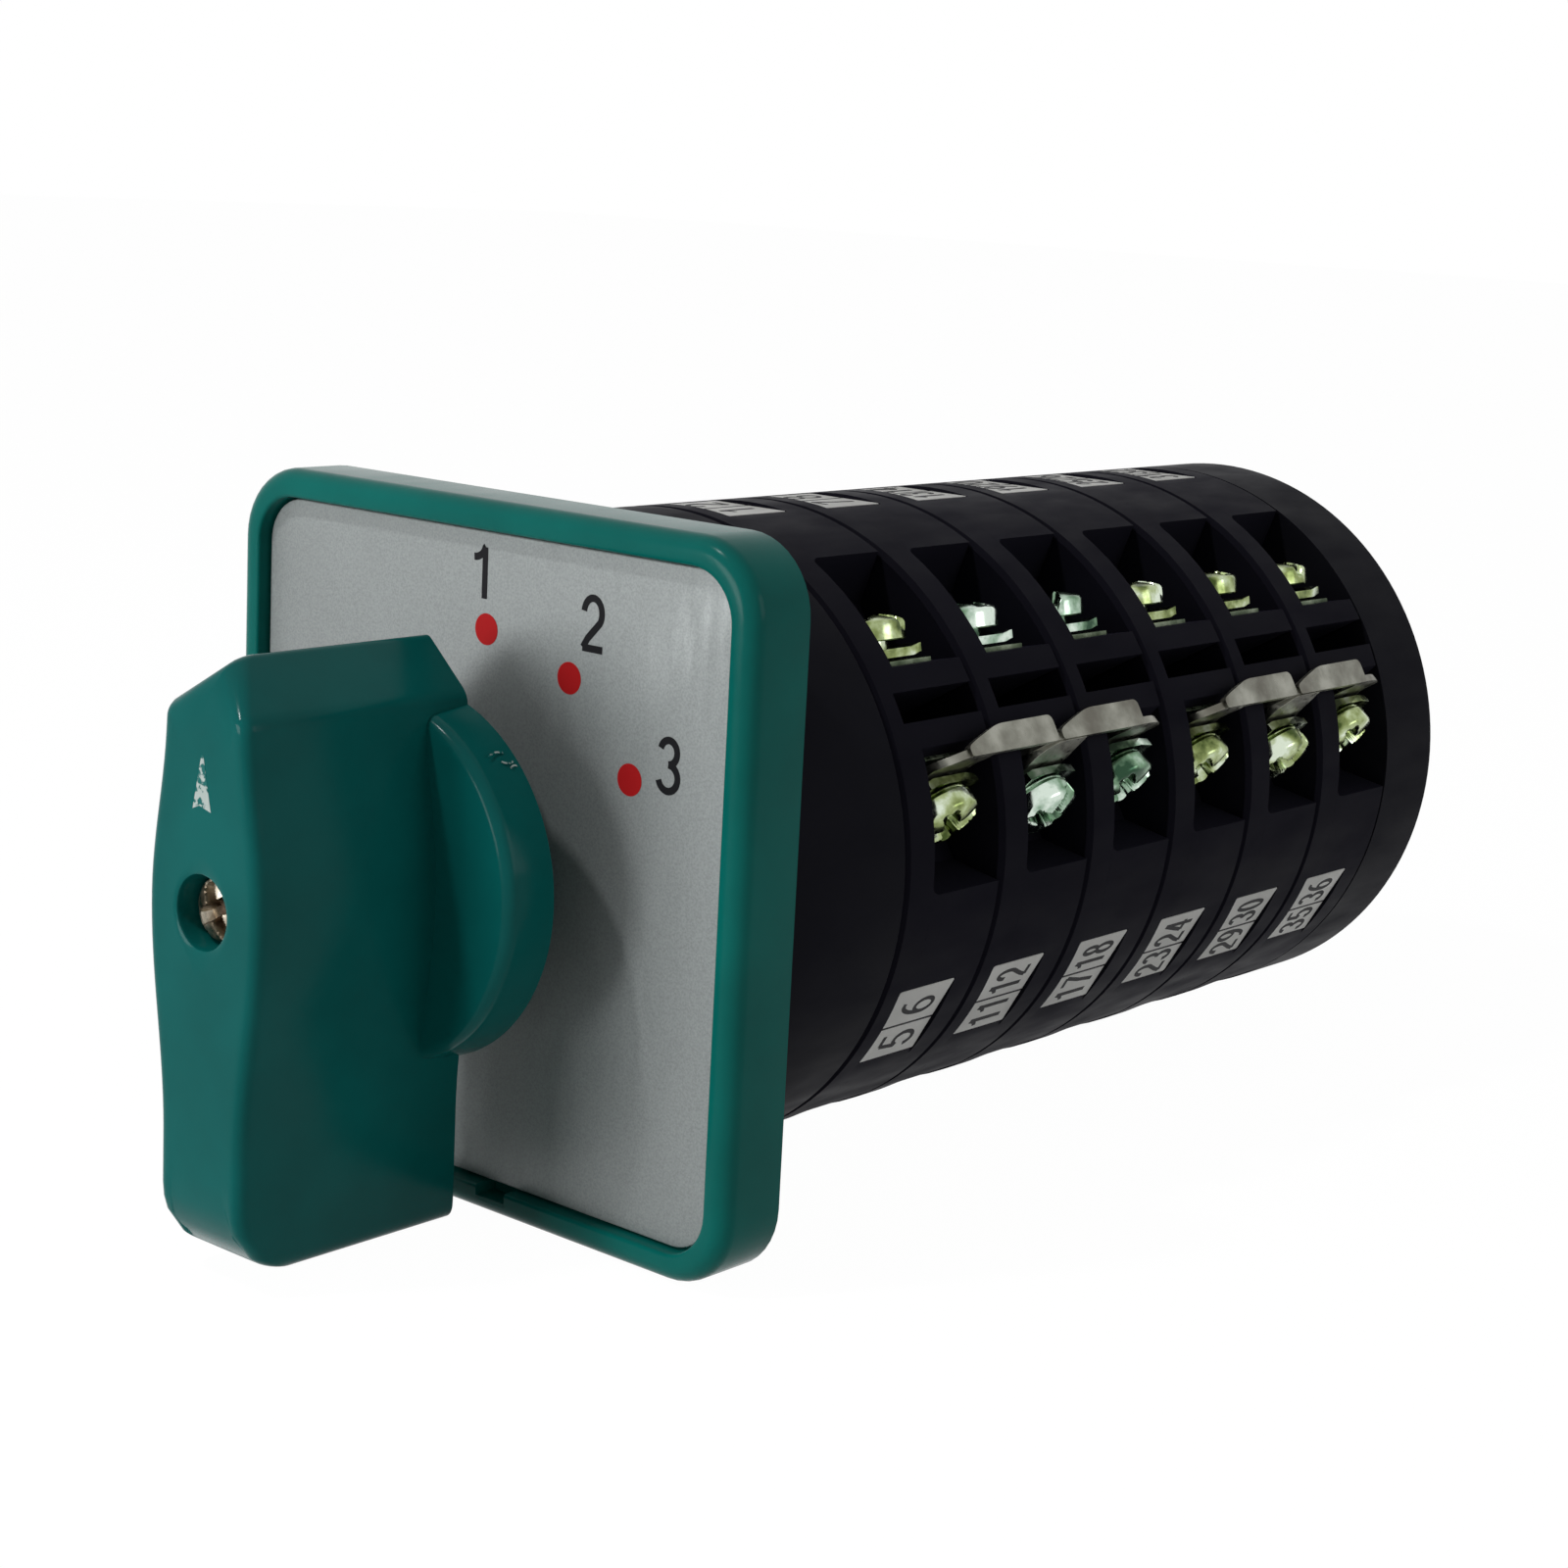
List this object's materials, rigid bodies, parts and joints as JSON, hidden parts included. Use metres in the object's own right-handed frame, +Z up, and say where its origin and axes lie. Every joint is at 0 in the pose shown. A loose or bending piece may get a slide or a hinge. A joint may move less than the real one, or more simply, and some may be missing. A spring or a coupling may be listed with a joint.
{
  "type": "rotary changeover switch",
  "caption": "Panel-mounted rotary changeover switch: pointer knob on a square dial bezel, round multi-stage contact body with screw terminals and jumper links.",
  "frame": {"origin": "on the switch axis, in the plane of the bezel's rear face, where the panel's front face lies", "axes": "+Y along the switch axis from the knob to the rear plate, +Z up through dial position 1, +X to the right seen from the front"},
  "size_m": [0.064, 0.1477, 0.064],
  "materials": {
    "teal_plastic": "glossy teal-green moulding",
    "dial_metal": "satin silver plate",
    "black_plastic": "satin black moulding",
    "zinc_steel": "zinc plated",
    "shaft_steel": "drawn square bar",
    "yellow_zinc": "yellow passivated zinc",
    "tinned_copper": "tinned",
    "contact_copper": "bare copper alloy",
    "white_nylon": "natural nylon",
    "spring_steel": "bright wire"
  },
  "bodies": {
    "housing": {"bezel_frame": "teal_plastic", "dial_plate": "dial_metal", "mounting_screw_1": "zinc_steel", "mounting_screw_2": "zinc_steel", "mounting_screw_3": "zinc_steel", "mounting_screw_4": "zinc_steel", "front_housing": "black_plastic", "index_plunger_left": "white_nylon", "index_plunger_right": "white_nylon", "index_spring_left": "spring_steel", "index_spring_right": "spring_steel", "stage_housing_1": "black_plastic", "stage_housing_2": "black_plastic", "stage_housing_3": "black_plastic", "stage_housing_4": "black_plastic", "stage_housing_5": "black_plastic", "stage_housing_6": "black_plastic", "rear_plate": "black_plastic", "tie_rod_1": "zinc_steel", "tie_rod_2": "zinc_steel", "tie_rod_3": "zinc_steel", "link_1_2": "tinned_copper", "link_2_3": "tinned_copper", "link_4_5": "tinned_copper", "link_5_6": "tinned_copper", "link_screw_1": "yellow_zinc", "link_screw_2": "yellow_zinc", "link_screw_3": "yellow_zinc", "link_screw_4": "yellow_zinc", "link_screw_5": "yellow_zinc", "link_screw_6": "yellow_zinc"},
    "rotor": {"knob": "teal_plastic", "knob_screw": "yellow_zinc", "switch_shaft": "shaft_steel", "star_wheel": "white_nylon", "cam_1": "white_nylon", "cam_2": "white_nylon", "cam_3": "white_nylon", "cam_4": "white_nylon", "cam_5": "white_nylon", "cam_6": "white_nylon"},
    "contacts_top": {"contact_top_1": "contact_copper", "contact_top_2": "contact_copper", "contact_top_3": "contact_copper", "contact_top_4": "contact_copper", "contact_top_5": "contact_copper", "contact_top_6": "contact_copper"},
    "contacts_left": {"contact_left_1": "contact_copper", "contact_left_2": "contact_copper", "contact_left_3": "contact_copper", "contact_left_4": "contact_copper", "contact_left_5": "contact_copper", "contact_left_6": "contact_copper"},
    "contacts_right": {"contact_right_1": "contact_copper", "contact_right_2": "contact_copper", "contact_right_3": "contact_copper", "contact_right_4": "contact_copper", "contact_right_5": "contact_copper", "contact_right_6": "contact_copper"}
  },
  "joints": [
    {"name": "knob_turn", "type": "hinge", "parent": "housing", "child": "rotor", "pos_m": [0, 0, 0], "axis": [0, 1, 0], "range_deg": [0, 60]},
    {"name": "contacts_top_lift", "type": "slide", "parent": "housing", "child": "contacts_top", "axis": [0, 0, 1], "range_m": [0, 0.002]},
    {"name": "contacts_left_lift", "type": "slide", "parent": "housing", "child": "contacts_left", "axis": [-0.866, 0, -0.5], "range_m": [-0.002, 0]},
    {"name": "contacts_right_lift", "type": "slide", "parent": "housing", "child": "contacts_right", "axis": [0.866, 0, -0.5], "range_m": [-0.002, 0]}
  ],
  "couplings": [
    {"joint": "contacts_top_lift", "follows": "knob_turn", "m_per_rad": 0.0019098},
    {"joint": "contacts_left_lift", "follows": "knob_turn", "m_per_rad": -0.0019098},
    {"joint": "contacts_right_lift", "follows": "knob_turn", "m_per_rad": -0.0019098}
  ]
}
